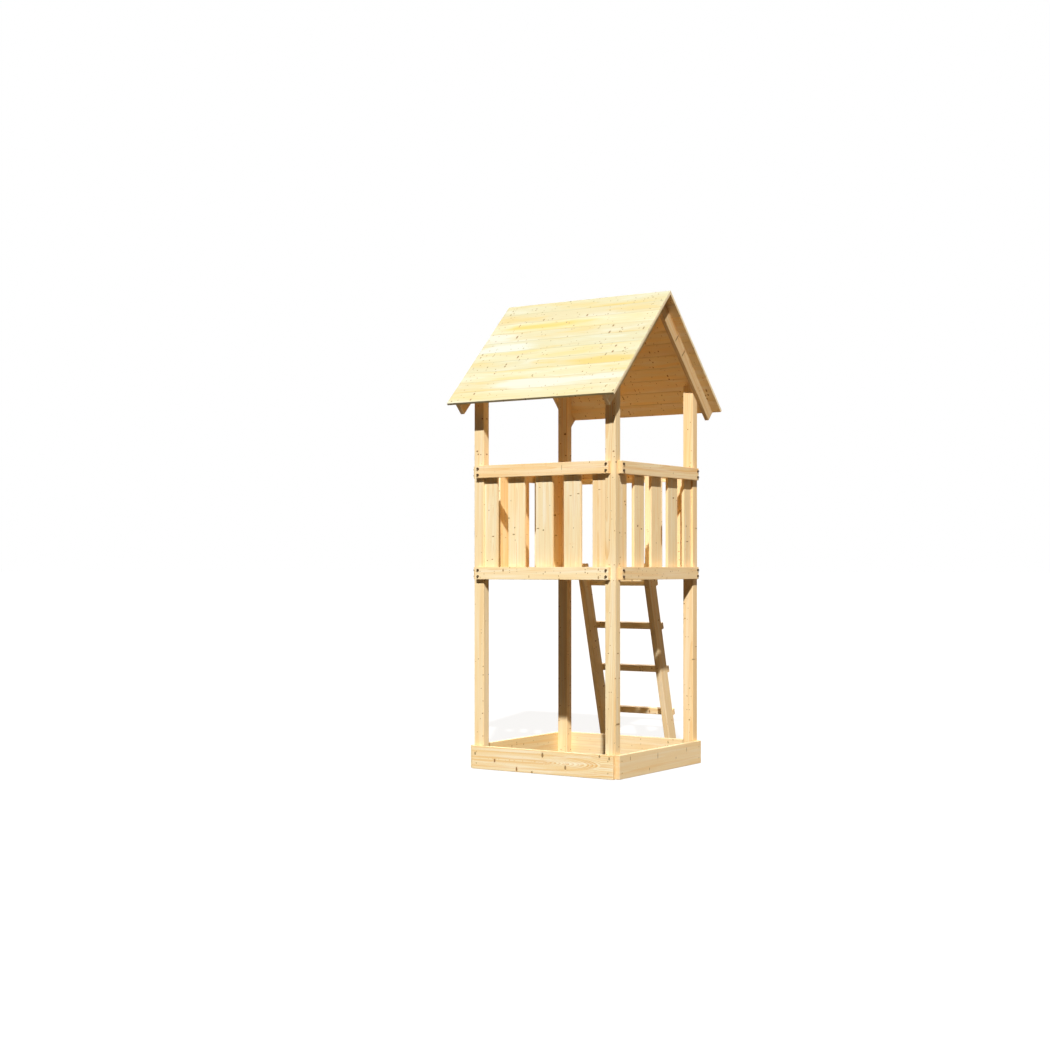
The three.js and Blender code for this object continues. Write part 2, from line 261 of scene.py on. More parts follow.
    # Year rings, pulled aside by the knots
    pulled = addNode(tree, "Math", multiplyAdd, masks["halo"], spruce["knotPull"], radius)
    years = addNode(tree, "Math", divide, pulled, spruce["ringWidth"])
    year = addNode(tree, "Math", {"operation": "FLOOR"}, years)
    inYear = addNode(tree, "Math", {"operation": "FRACT"}, years)
    season = addNode(tree, "TexWhiteNoise", {"noise_dimensions": "1D", "W": year})
    bandAt = addNode(tree, "Math", divide, pulled, spruce["bandWidth"])
    bandNoise = addNode(tree, "TexNoise", {
        "noise_dimensions": "1D", "W": bandAt, "Scale": 1.0, "Detail": spruce["fineDetail"],
        "Roughness": spruce["bandRoughness"]})

    # One streak of each board has a place of its own: over zero it is heartwood, below it sapwood
    spot = addNode(tree, "CombineXYZ", {"X": streakAlong, "Y": streakAcross})
    spotAway = addNode(tree, "VectorMath", measure, spot).outputs["Value"]
    spotEdge = addNode(tree, "Math", multiplyAdd, broad, spruce["spotRag"], spotAway)
    for part, value in (
            ("lateWood", inYear), ("band", bandNoise), ("heart", broad), ("pale", broad),
            ("spot", spotEdge)):
        begins, full = spruce["edges"][part]
        masks[part] = addNode(tree, "MapRange", {
            "interpolation_type": "SMOOTHSTEP", "Value": value, "From Min": begins, "From Max": full})
    seasonShare = addNode(tree, "MapRange", {
        "Value": season.outputs["Value"], "To Min": spruce["weakYear"], "To Max": 1.0})
    ring = addNode(tree, "Math", multiply, masks["lateWood"], seasonShare)
    ringShare = addNode(tree, "Math", multiplyAdd, figureTone, look["figureShare"], look["ringShare"])
    bandShare = addNode(tree, "Math", multiply, figureTone, look["bandShare"])
    bands = addNode(tree, "Math", multiply, masks["band"], bandShare)
    rings = addNode(tree, "Math", multiplyAdd, ring, ringShare, bands)
    darker = addNode(
        tree, "Math", {"operation": "MULTIPLY_ADD", "use_clamp": True}, fibre, look["fibreShare"], rings)
    paleDepth = addNode(tree, "Math", multiply, streakDepth, -1.0)
    spots = {}
    for part, depth in (("heart", streakDepth), ("pale", paleDepth)):
        spots[part] = addNode(
            tree, "Math", {"operation": "MULTIPLY", "use_clamp": True}, masks["spot"], depth)
    rimShare = addNode(tree, "Math", multiplyAdd, ownMark, look["ownRimShare"], look["rimShare"])

    # Colours, one over the other, each through a mask and a share
    hues = {part: linearColour(colour) for part, colour in colours.items()}
    hues["knot"] = addNode(tree, "Mix", {
        "data_type": "RGBA", 0: kind, 6: hues["knot"], 7: hues["greenKnot"]}).outputs[2]
    colour = hues["earlyWood"]
    for part, mask, share in (
            ("lateWood", darker, 1.0), ("heart", masks["heart"], look["heartShare"]),
            ("pale", masks["pale"], look["paleShare"]), ("heart", spots["heart"], 1.0),
            ("pale", spots["pale"], 1.0), ("halo", masks["halo"], look["haloShare"]),
            ("knot", masks["knot"], 1.0), ("knotRim", rim, rimShare),
            ("endGrain", carried["sawnEnd"].outputs["Fac"], look["endShare"])):
        depth = addNode(tree, "Math", multiply, mask, share)
        colour = addNode(tree, "Mix", {
            "data_type": "RGBA", 0: depth, 6: colour, 7: hues[part]}).outputs[2]

    # Boards differ in lightness and warmth
    lightness = addNode(tree, "Math", multiplyAdd, lightTone, look["lightnessRange"], 1.0)
    green = addNode(tree, "Math", multiplyAdd, warmTone, -look["warmthRange"] / 2, 1.0)
    blue = addNode(tree, "Math", multiplyAdd, warmTone, -look["warmthRange"], 1.0)
    tint = addNode(tree, "CombineXYZ", {"X": 1.0, "Y": green, "Z": blue})
    tinted = addNode(tree, "VectorMath", multiply, colour, tint)
    # Painted shade: faces that look inward or down get a warmer colour, and on the roof a brighter one
    # too, which stands in for the warm light bounced into shade
    paintedShadeMix = addNode(tree, "Mix", {
        "data_type": "VECTOR", 0: carried["paintedShadeSide"].outputs["Fac"], 4: (1, 1, 1),
        5: look["paintedShadeTint"]})
    withPaintedShade = addNode(tree, "VectorMath", multiply, tinted, paintedShadeMix.outputs[1])
    lit = addNode(tree, "VectorMath", {"operation": "SCALE", "Scale": lightness}, withPaintedShade)

    # Planed wood is matt, with a little more gloss on hard knots
    swing = spruce["roughnessRange"]
    rough = addNode(tree, "MapRange", {
        "Value": fibre, "To Min": look["roughness"] - swing, "To Max": look["roughness"] + swing})
    roughness = addNode(tree, "Math", multiplyAdd, masks["knot"], -spruce["knotGloss"], rough)
    relief = addNode(tree, "Math", multiply, ring, spruce["ringBump"])
    for part, lift in ((fibre, spruce["fibreBump"]), (rim, -spruce["knotBump"])):
        relief = addNode(tree, "Math", multiplyAdd, part, lift, relief)
    bump = addNode(tree, "Bump", {
        "Strength": spruce["bumpStrength"], "Distance": millimetre, "Height": relief})
    shader = addNode(tree, "BsdfPrincipled", {
        "Base Color": lit, "Roughness": roughness, "Normal": bump, "IOR": look["refraction"],
        "Specular IOR Level": look["specular"]})
    addNode(tree, "OutputMaterial", {"Surface": shader})
    return material


# Fresh planed spruce: pale straw early wood, thin honey late wood, brown and grey-green
# knots. It gives a light, warm, quiet surface with small dark spots.
planedColours = {
    "earlyWood": "#FCE9BC",
    "lateWood": "#E8B46C",
    "heart": "#F5CE8C",
    "pale": "#FDEFD2",
    "halo": "#EDC283",
    "knot": "#9C6A3A",
    "greenKnot": "#A0935F",
    "knotRim": "#5E4025",
    "endGrain": "#E6BE84",
}
planedLook = {
    "streakWidth": 20.0,  # broad paler and yellower streaks
    "streakLength": 600.0,
    "ringShare": 0.18,
    "figureShare": 0.9,
    "bandShare": 0.7,
    "fibreShare": 0.16,
    "knotSize": 1.0,
    "rimShare": 0.32,
    "ownRimShare": 0.42,  # more for knots that are listed one by one
    "haloShare": 0.3,
    "heartShare": 0.45,
    "paleShare": 0.5,
    "endShare": 0.45,
    "lightnessRange": 0.05,
    "warmthRange": 0.09,
    "roughness": 0.62,
    "refraction": 1.5,
    "specular": 0.35,
    # Painted shade: the warmer colour of faces that look inward
    "paintedShadeTint": (1.0, 0.88, 0.7),
}
# The roof boards have a greyer, more lemon colour than the other spruce, which is painted light for the
# washed-out look of the sunlit slope, and they show clear yellow heartwood.
roofColours = {
    **planedColours,
    "earlyWood": "#D9D3AE",
    "lateWood": "#CEB87E",
    "heart": "#DDC372",
    "pale": "#DEDECD",
    "halo": "#D0BD86",
    "endGrain": "#F8E4BC",
}
# On the roof's underside the painted shade is brighter as well as warmer
roofLook = {
    **planedLook, "streakWidth": 60.0, "streakLength": 420.0, "figureShare": 0.5, "bandShare": 0.25,
    "warmthRange": 0.05, "rimShare": 0.5, "endShare": 0.9, "paintedShadeTint": (1.42, 1.18, 1.03)}

# Black oxide on steel: nearly black, a soft sheen
blackSteel = {"colour": "#5E4B36", "roughness": 0.32, "metallic": 0.85}
# Yellow zinc on small screws: pale brass colour, hardly to be seen against the wood
yellowZinc = {"colour": "#B4965E", "roughness": 0.42, "metallic": 1.0}
# Faint mottling of both, from handling and the tumbled coating
mottling = {"width": 3 * millimetre, "detail": 3.0, "shade": 0.25, "roughness": 0.1}


def metalMaterial(name, finish):
    material = newMaterial(name)
    tree = material.node_tree
    place = addNode(tree, "TexCoord", {})
    mottle = addNode(tree, "TexNoise", {
        "Vector": place.outputs["Object"], "Scale": 1 / mottling["width"], "Detail": mottling["detail"]})
    shade = addNode(tree, "MapRange", {
        "Value": mottle, "To Min": 1 - mottling["shade"], "To Max": 1 + mottling["shade"]})
    colour = addNode(
        tree, "VectorMath", {"operation": "SCALE", "Scale": shade}, linearColour(finish["colour"])[:3])
    rough = addNode(tree, "MapRange", {
        "Value": mottle, "To Min": finish["roughness"] - mottling["roughness"],
        "To Max": finish["roughness"] + mottling["roughness"]})
    shader = addNode(tree, "BsdfPrincipled", {
        "Base Color": colour, "Roughness": rough, "Metallic": finish["metallic"]})
    addNode(tree, "OutputMaterial", {"Surface": shader})
    return material


materials = {
    "spruce_post": spruceMaterial("planedSprucePosts", planedColours, planedLook),
    "spruce_plank": spruceMaterial("planedSprucePlanks", planedColours, planedLook),
    "spruce_slat": spruceMaterial("planedSpruceSlats", planedColours, planedLook),
    "spruce_roof_board": spruceMaterial("matchedSpruceRoof", roofColours, roofLook),
    "spruce_deck": spruceMaterial("matchedSpruceDeck", planedColours, planedLook),
    "spruce_ladder": spruceMaterial("planedSpruceLadder", planedColours, planedLook),
    "screw_steel": metalMaterial("blackOxideSteel", blackSteel),
    "small_screws": metalMaterial("yellowZincSteel", yellowZinc),
}
print("materials made:", len(materials))


# A closed solid from an outline along u and v, as thick as depth on both sides of its plane
def extrudeOutline(outline, origin, u, v, depth):
    bm = bmesh.new()
    square = u.cross(v)
    corners = [bm.verts.new(origin + u * a + v * b - square * depth / 2) for a, b in outline]
    face = bm.faces.new(corners)
    made = bmesh.ops.extrude_face_region(bm, geom=[face])
    moved = [part for part in made["geom"] if isinstance(part, bmesh.types.BMVert)]
    bmesh.ops.translate(bm, verts=moved, vec=square * depth)
    bmesh.ops.recalc_face_normals(bm, faces=bm.faces)
    return bm


def easeEdges(bm, edges, radius, segments=2):
    bmesh.ops.bevel(
        bm, geom=edges, offset=radius, offset_type="OFFSET", affect="EDGES",
        segments=segments, profile=0.5, material=-1, clamp_overlap=True)


def extent(low, high, direction):
    return abs((high - low).dot(direction))


def rectangle(width, height):
    x, y = width / 2, height / 2
    return [(-x, -y), (x, -y), (x, y), (-x, y)]


def newMeshObject(bm, name, material):
    mesh = bpy.data.meshes.new(name)
    bm.to_mesh(mesh)
    bm.free()
    mesh.materials.append(material)
    return newObject(name, mesh)


# Puts the finished mesh into the scene as one piece that rides on the tower
def placePiece(bm, name, slot, nodes):
    piece = newMeshObject(bm, name, materials[slot])
    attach(piece, "root")
    if nodes:
        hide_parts(*nodes)


# How boards were sawn from their logs: depth and side are millimetres from the board's
# middle to the pith, and lean is how far the log ran out of line over its length
sawing = {
    "depth": (22.0, 75.0),
    "side": 32.0,
    "lean": 0.012,
    "figure": (0.05, 0.3),
    "startRange": 40000.0,
    # A board's own streak, in shares of its half length and half width
    "streakAlong": 0.8,
    "streakHalfLength": (0.3, 0.8),
    "streakAcross": 0.6,
    "streakHalfWidth": (0.15, 0.4),
    "streakDepths": (-0.5, 0, 0, 0.4),
    "riseSteps": 10,
    "knotScale": 1.22,  # drawn this much too large, so that they show from some metres away
    "endCosine": 0.5,  # a face steeper than this to a direction counts as facing that way
}


def cutAcross(bm, middle, along, places):
    for place in places:
        bmesh.ops.bisect_plane(
            bm, geom=bm.verts[:] + bm.edges[:] + bm.faces[:], plane_co=middle + along * place * millimetre,
            plane_no=along)


# Gives each corner its place in the tree, and the board its tone and its one clear streak. Listed
# knots are share along, share across (from -1 to 1), radius and stretch. A rise lifts the pith
# away along one stretch, so that the year rings run out there in arches.
def layGrain(bm, name, middle, along, across, given=None):
    look = {**sawing, **(given or {})}
    dice = random.Random(name)
    through = along.cross(across)
    places = bm.verts.layers.float_vector.new("grainPlace")
    tones = bm.verts.layers.float_vector.new("boardTone")
    streaks = bm.verts.layers.float_vector.new("streakPlace")
    ends = bm.faces.layers.float.new("sawnEnd")
    reach = max((vert.co - middle).dot(along) for vert in bm.verts) / millimetre
    knots = sorted(look.get("knots", ()))
    if knots:
        knotPlaces = bm.loops.layers.float_vector.new("knotPlace")
        borders = [(first[0] + second[0]) / 2 * reach for first, second in zip(knots, knots[1:])]
        cutAcross(bm, middle, along, borders)
    if "rise" in look:
        riseFrom, riseTo, riseDepth = look["rise"]
        steps = sawing["riseSteps"]
        cutAcross(bm, middle, along, [
            (riseFrom + (riseTo - riseFrom) * step / steps) * reach for step in range(steps + 1)])
    local = {}
    for vert in bm.verts:
        away = (vert.co - middle) / millimetre
        local[vert] = Vector((away.dot(along), away.dot(across), away.dot(through)))
    halfLength = max(abs(point.x) for point in local.values())
    halfWidth = max(abs(point.y) for point in local.values())
    halfDepth = max(abs(point.z) for point in local.values())
    start = dice.uniform(0, sawing["startRange"])
    flip = dice.choice((-1, 1)) if "outward" not in look else look["outward"]
    depth = halfDepth + dice.uniform(*look["depth"])
    side = dice.uniform(-look["side"], look["side"])
    leanSide = dice.uniform(-look["lean"], look["lean"])
    leanDepth = dice.uniform(-look["lean"], look["lean"]) if "leanDepth" not in look else look["leanDepth"]
    lightness, warmth = dice.uniform(-1, 1), dice.uniform(-1, 1)
    figure = dice.uniform(*look["figure"])
    spot = look.get("streak") or (
        dice.uniform(-look["streakAlong"], look["streakAlong"]),
        dice.uniform(*look["streakHalfLength"]),
        dice.uniform(-look["streakAcross"], look["streakAcross"]),
        dice.uniform(*look["streakHalfWidth"]), dice.choice(look["streakDepths"]))
    for vert, point in local.items():
        rise = 0.0
        if "rise" in look:
            rise = riseDepth * min(max((point.x / reach - riseFrom) / (riseTo - riseFrom), 0), 1)
        vert[places] = (
            point.x + start,
            point.y + side + leanSide * point.x,
            flip * point.z + depth + leanDepth * point.x + rise)
        vert[tones] = (look.get("lightness", lightness), look.get("warmth", warmth), figure)
        vert[streaks] = (
            (point.x / halfLength - spot[0]) / spot[1],
            (point.y / halfWidth - spot[2]) / spot[3],
            spot[4])
    # Faces that look the given way are marked for the painted shade tint
    paintedShadeSide = bm.faces.layers.float.new("paintedShadeSide")
    shadeSideFacing = look.get("paintedShadeSide", Vector())
    for face in bm.faces:
        face[ends] = 1.0 if abs(face.normal.dot(along)) > look["endCosine"] else 0.0
        face[paintedShadeSide] = 1.0 if face.normal.dot(shadeSideFacing) > look["endCosine"] else 0.0
        if knots:
            middleShare = sum(local[vert].x for vert in face.verts) / len(face.verts) / reach
            knot = min(knots, key=lambda knot: abs(knot[0] - middleShare))
            radius = knot[2] * sawing["knotScale"]
            for loop in face.loops:
                point = local[loop.vert]
                loop[knotPlaces] = (
                    (point.x - knot[0] * halfLength) / radius,
                    (point.y - knot[1] * halfWidth) / radius / knot[3], 1.0)


# Eases all edges of a board, lays its grain and puts it in the place of its node
def finishBoard(bm, name, node, slot, ease, middle, along, across, given=None):
    easeEdges(bm, bm.edges[:], ease)
    bmesh.ops.recalc_face_normals(bm, faces=bm.faces)
    layGrain(bm, name, middle, along, across, given)
    placePiece(bm, name, slot, [node])


# A straight board in the place of a box
def makeBoard(name, node, low, high, along, across, slot, ease, given=None):
    middle, through = (low + high) / 2, along.cross(across)
    outline = rectangle(extent(low, high, across), extent(low, high, through))
    bm = extrudeOutline(outline, middle, across, through, extent(low, high, along))
    finishBoard(bm, name, node, slot, ease, middle, along, across, given)


# Posts
posts = {
    "ease": 0.003,
    "looks": {
        ("Front", "Left"): {"warmth": 0.7, "lightness": -0.3},
        ("Front", "Right"): {"warmth": 0.2, "figure": (0.4, 0.4)},
        ("Back", "Right"): {"warmth": 1.7, "lightness": -0.5},
        ("Back", "Left"): {"warmth": 1.4, "lightness": -0.5},
    },
}
for row in ("Front", "Back"):
    for column in ("Left", "Right"):
        node = f"post_{row}_{column}".lower()
        low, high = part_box(node)
        makeBoard(
            f"post{row}{column}", node, low, high, upright, acrossX, "spruce_post", posts["ease"],
            posts["looks"].get((row, column)))
print("posts made")

# Sides of the frame, with the direction along each and the way that it faces
sides = {
    "Front": (acrossX, -acrossY),
    "Right": (acrossY, acrossX),
    "Back": (-acrossX, acrossY),
    "Left": (-acrossY, -acrossX),
}

# Border boards of the sandbox
borders = {
    "ease": 0.003,
    "looks": {
        # The front board is sawn flat, and its year rings run out in pointed arches
        "Front": {
            "figure": (1.05, 1.05), "depth": (10.0, 10.0), "outward": -1, "leanDepth": 0.0,
            "side": 6.0, "rise": (0.06, 0.84, 42.0),
            "knots": [
                (-0.95, 0.33, 3.5, 2.0), (-0.66, -0.17, 4.0, 1.8), (-0.34, -0.74, 4.0, 2.2),
                (-0.12, -0.92, 3.5, 1.6), (0.03, 0.62, 5.0, 2.0), (0.35, -0.29, 4.0, 2.2),
                (0.82, 0.86, 4.0, 1.4), (0.95, 0.72, 3.5, 1.8)],
        },
        # The left board is made darker, painted shade for the shadow on its inner face
        "Left": {"paintedShadeSide": acrossX, "lightness": -1.0},
        "Right": {
            "knots": [
                (-0.75, 0.6, 1.6, 5.0), (-0.3, -0.6, 1.8, 3.0), (-0.1, 0.4, 1.8, 7.0),
                (0.35, -0.1, 1.6, 3.0), (0.62, 0.45, 1.6, 6.0)],
        },
    },
}
for name, (along, facing) in sides.items():
    node = f"border_{name.lower()}"
    low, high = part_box(node)
    makeBoard(
        f"border{name}", node, low, high, along, upright, "spruce_plank", borders["ease"],
        borders["looks"].get(name))
print("sandbox border made")


# Hexagon coach screws with a flange, seen from the side that the head is on
coachScrews = {
    "flats": 0.013,
    "flange": 0.0076,  # radius
    "flangeHeight": 0.0016,
    "height": 0.008,  # of head and flange
    "spacing": 0.038,
    "inset": 0.015,
    "crown": 0.0009,
    "crownFrom": 0.9,  # edges over this share of the height are eased
    "flangeTop": 0.92,  # share of the flange's radius
    "sides": 6,
    "roundSides": 24,
}


def poseAt(place, facing):
    pose = facing.to_track_quat("Z", "Y").to_matrix().to_4x4()
    pose.translation = place
    return pose


def addCoachScrew(bm, place, facing, turn):
    pose = poseAt(place, facing)
    spin = pose @ Matrix.Rotation(turn, 4, "Z")
    flangeHeight, height = coachScrews["flangeHeight"], coachScrews["height"]
    corner = coachScrews["flats"] / math.sqrt(3)
    lift = Matrix.Translation((0, 0, flangeHeight / 2))
    bmesh.ops.create_cone(
        bm, cap_ends=True, segments=coachScrews["roundSides"], radius1=coachScrews["flange"],
        radius2=coachScrews["flange"] * coachScrews["flangeTop"], depth=flangeHeight,
        matrix=pose @ lift)
    top = Matrix.Translation((0, 0, height / 2))
    head = bmesh.ops.create_cone(
        bm, cap_ends=True, segments=coachScrews["sides"], radius1=corner, radius2=corner,
        depth=height, matrix=spin @ top)
    rim = []
    for edge in {edge for vert in head["verts"] for edge in vert.link_edges}:
        heights = [(vert.co - place).dot(facing) for vert in edge.verts]
        if min(heights) > height * coachScrews["crownFrom"]:
            rim.append(edge)
    easeEdges(bm, rim, coachScrews["crown"])


# Small countersunk screws, with a round recess in a head that lies a hair above the wood
smallScrews = {
    "head": 0.0042,  # radius
    "depth": 0.0012,
    "proud": 0.0002,
    "recess": 0.0019,  # radius
    "recessDepth": 0.0008,
    "recessSlant": 0.0004,
    "roundSides": 12,
    "fromRailEdge": 0.02,  # the lower row is below the deck
    "besideMiddle": 0.012,  # where two screws share one crossing
    "pair": (0.25, 0.75),  # where two stand side by side, as shares of the board's width
}


def placeSmallScrews(name, spots):
    head, depth = smallScrews["head"], smallScrews["depth"]
    bm = bmesh.new()
    for place, facing in spots:
        pose = poseAt(place + facing * (smallScrews["proud"] - depth / 2), facing)
        cone = bmesh.ops.create_cone(
            bm, cap_ends=True, segments=smallScrews["roundSides"], radius1=head - depth / 2,
            radius2=head, depth=depth, matrix=pose)
        faces = {face for vert in cone["verts"] for face in vert.link_faces}
        top = max(faces, key=lambda face: face.calc_center_median().dot(facing))
        bmesh.ops.inset_individual(bm, faces=[top], thickness=head - smallScrews["recess"])
        bmesh.ops.inset_individual(
            bm, faces=[top], thickness=smallScrews["recessSlant"], depth=-smallScrews["recessDepth"])
    placePiece(bm, f"smallScrews{name}", "small_screws", [])


# The border boards are screwed to the posts
borderSpots = []
for name, (along, facing) in sides.items():
    low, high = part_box(f"border_{name.lower()}")
    middle, height = (low + high) / 2, extent(low, high, upright)
    middle += facing * extent(low, high, facing) / 2
    for row in ("front", "back"):
        for column in ("left", "right"):
            postMiddle = sum(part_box(f"post_{row}_{column}"), Vector()) / 2
            if postMiddle.dot(facing) > middle.dot(facing) / 2:
                place = middle + along * (postMiddle - middle).dot(along)
                borderSpots += [
                    (place + upright * height * (share - 0.5), facing) for share in smallScrews["pair"]]
placeSmallScrews("Border", borderSpots)

# Rails, with two coach screws one above the other at each end
rails = {
    "ease": 0.0022,
    "looks": {
        ("Front", "Upper"): {
            "warmth": 1.0, "streak": (-0.3, 0.7, 0.3, 0.35, 0.6), "figure": (0.5, 0.5),
            "knots": [
                (-0.7, 0.0, 1.5, 0.4), (-0.42, 0.1, 1.5, 0.3), (0.32, 0.2, 0.9, 12.0),
                (0.73, 0.85, 1.8, 1.5)],
        },
        ("Front", "Lower"): {"warmth": -0.3, "lightness": 0.6},
        ("Right", "Upper"): {
            "warmth": 0.6, "figure": (0.5, 0.5), "knots": [(-0.3, 0.3, 1.4, 1.0), (0.3, -0.2, 1.5, 2.0)]},
        ("Right", "Lower"): {"warmth": 1.6, "lightness": -0.6},
    },
}
for name, (along, facing) in sides.items():
    borderLow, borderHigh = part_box(f"border_{name.lower()}")
    face = max(borderLow.dot(facing), borderHigh.dot(facing))
    thickness = extent(borderLow, borderHigh, facing)
    for level in ("Lower", "Upper"):
        node = f"rail_{name.lower()}_{level.lower()}"
        low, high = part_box(node)
        middle = (low + high) / 2
        middle += facing * (face - thickness / 2 - middle.dot(facing))
        half = along * extent(low, high, along) / 2 + upright * extent(low, high, upright) / 2
        half += facing * thickness / 2
        first, second = middle - half, middle + half
        railName = f"rail{name}{level}"
        makeBoard(
            railName, node, first, second, along, upright, "spruce_plank", rails["ease"],
            rails["looks"].get((name, level)))
        bm = bmesh.new()
        dice = random.Random(f"{railName}Screws")
        for end in (-1, 1):
            for row in (-1, 1):
                reach = extent(low, high, along) / 2 - coachScrews["inset"]
                place = middle + along * end * reach + upright * row * coachScrews["spacing"] / 2
                place += facing * thickness / 2
                addCoachScrew(bm, place, facing, dice.uniform(0, math.tau / coachScrews["sides"]))
        placePiece(bm, f"coachScrews{name}{level}", "screw_steel", [node])
print("rails and coach screws made")

# Packing strips between the posts, which hold the slats off the rails
packing = {
    "height": 0.038,  # behind the upper rails; behind the lower ones they end below the deck
    "fit": 0.001,
    "ease": 0.0015,
}
deckLow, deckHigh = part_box("deck_boards_1")
slatLow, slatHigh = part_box("slat_front_1")
postLow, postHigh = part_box("post_front_right")
towerMiddle = Vector((0, sum(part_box("border_left"), Vector()).y / 2, 0))
for name, (along, facing) in sides.items():
    postSide = min(abs((corner - towerMiddle).dot(along)) for corner in (postLow, postHigh))
    half = along * (postSide - packing["fit"])
    middle = towerMiddle - facing * towerMiddle.dot(facing)
    outer = min(corner.dot(facing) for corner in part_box(f"border_{name.lower()}"))
    for level, bottom, top in (
            ("Lower", slatLow.z, deckLow.z - packing["fit"]),
            ("Upper", slatHigh.z - packing["height"], slatHigh.z)):
        node = f"rail_{name.lower()}_{level.lower()}"
        inner = min(corner.dot(facing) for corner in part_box(node))
        first = middle - half + facing * inner + upright * bottom
        second = middle + half + facing * outer + upright * top
        # Their inner faces get the painted shade tint
        makeBoard(
            f"packing{name}{level}", node, first, second, along, upright, "spruce_plank",
            packing["ease"], {"paintedShadeSide": -facing})
print("packing strips made")

# Slats behind the strips, screwed to them from the inside
slats = {
    "ease": 0.0018,
    "mostOnOneSide": 5,
    "looks": {
        ("Front", 1): {
            "warmth": -0.6, "knots": [
                (-0.68, -0.6, 1.8, 1.5), (-0.66, 0.2, 1.8, 2.0), (-0.25, 0.35, 2.0, 2.5),
                (0.22, -0.32, 1.9, 1.0)],
        },
        ("Front", 2): {
            "knots": [
                (-0.32, -0.14, 1.7, 1.0), (-0.22, -0.32, 2.8, 1.8), (-0.1, -0.2, 2.6, 1.0),
                (0.07, -0.9, 2.8, 1.0), (0.38, -0.66, 2.6, 0.5)],
        },
        ("Front", 3): {
            "warmth": -0.4, "knots": [
                (-0.15, -0.07, 2.8, 1.2), (-0.12, -0.72, 2.0, 3.0), (0.28, 0.7, 1.5, 1.0),
                (0.6, -0.5, 1.5, 1.4)],
        },
        ("Front", 4): {
            "knots": [
                (-0.45, 0.06, 2.6, 0.4), (-0.12, 0.15, 2.6, 0.4), (0.44, -0.2, 1.5, 3.5),
                (0.47, 0.7, 1.9, 3.0)],
        },
        ("Front", 5): {"warmth": 1.2, "knots": [(0.53, 0.0, 1.5, 3.0)]},
        ("Right", 2): {
            "knots": [(-0.13, 0.43, 2.6, 2.0), (-0.08, -0.3, 4.2, 1.2), (0.42, -0.45, 1.8, 1.0)]},
        ("Right", 3): {"warmth": 0.8, "knots": [(-0.37, 0.0, 2.3, 1.0), (0.07, 0.5, 1.4, 1.0)]},
        ("Right", 4): {"knots": [(0.41, 0.85, 2.0, 1.0), (0.45, 0.13, 3.2, 2.0)]},
        ("Right", 5): {
            "knots": [(-0.33, -0.13, 1.9, 4.5), (-0.24, 0.58, 2.6, 0.6), (-0.05, -0.39, 3.2, 1.0)]},
        # The sun reaches the back slats from inside too, so they get no painted shade
        ("Back", 1): {"paintedShadeSide": Vector()},
        ("Back", 2): {"paintedShadeSide": Vector()},
    },
}
slatSpots = []
for name, (along, facing) in sides.items():
    for number in range(1, slats["mostOnOneSide"] + 1):
        node = f"slat_{name.lower()}_{number}"
        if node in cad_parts:
            low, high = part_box(node)
            # Inner faces get the painted shade tint, unless the look turns it off
            makeBoard(
                f"slat{name}{number}", node, low, high, upright, along, "spruce_slat", slats["ease"],
                {"paintedShadeSide": -facing, **slats["looks"].get((name, number), {})})
            inner = (low + high) / 2 - facing * extent(low, high, facing) / 2
            for level in ("lower", "upper"):
                railLow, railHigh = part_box(f"rail_{name.lower()}_{level}")
                inner.z = railHigh.z - smallScrews["fromRailEdge"]
                if level == "lower":
                    inner.z = railLow.z + smallScrews["fromRailEdge"]
                width = extent(low, high, along)
                slatSpots += [
                    (inner + along * width * (share - 0.5), -facing) for share in smallScrews["pair"]]
placeSmallScrews("Slats", slatSpots)
print("slats made")

# Joists
joists = {"ease": 0.002}
for name in ("Left", "Right"):
    low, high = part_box(f"deck_joist_{name.lower()}")
    makeBoard(
        f"deckJoist{name}", f"deck_joist_{name.lower()}", low, high, acrossY, upright,
        "spruce_deck", joists["ease"])

# Matched boards, the same for the roof and the deck
matched = {
    "tongueThickness": 0.005,
    "tongueLength": 0.007,
    "clearance": 0.0004,
    "chamfer": 0.0024,  # the V at each joint, on the lower face
    "topEase": 0.0005,  # at each joint on the upper face
    "gap": 0.0006,
    "ease": 0.0012,  # where an edge has no joint
    "lengthRange": 0.0012,  # boards differ a little in length
}


# Section of one board. The first edge has a tongue, a plumb ridge cut or is square, and the
# last has a groove or is square.
def matchedSection(start, width, thickness, firstEdge, lastEdge):
    end = start + width
    half, middle = matched["tongueThickness"] / 2, thickness / 2
    chamfer, ease, length = matched["chamfer"], matched["ease"], matched["tongueLength"]
    topEase = matched["topEase"]
    first, last = start + matched["gap"] / 2, end - matched["gap"] / 2
    if firstEdge == "tongue":
        points = [
            (first + chamfer, 0), (first, chamfer), (first, middle - half),
            (first - length, middle - half), (first - length, middle + half),
            (first, middle + half), (first, thickness - topEase), (first + topEase, thickness)]
    elif firstEdge == "ridge":
        points = [(start + thickness, 0), (start, thickness)]
    else:
        points = [(start + ease, 0), (start, ease), (start, thickness - ease), (start + ease, thickness)]
    if lastEdge == "groove":
        wide = half + matched["clearance"]
        deep = last - length - matched["gap"] - matched["clearance"]
        points += [
            (last - topEase, thickness), (last, thickness - topEase), (last, middle + wide),
            (deep, middle + wide), (deep, middle - wide), (last, middle - wide),
            (last, chamfer), (last - chamfer, 0)]
    else:
        points += [(end - ease, thickness), (end, thickness - ease), (end, ease), (end - ease, 0)]
    return points


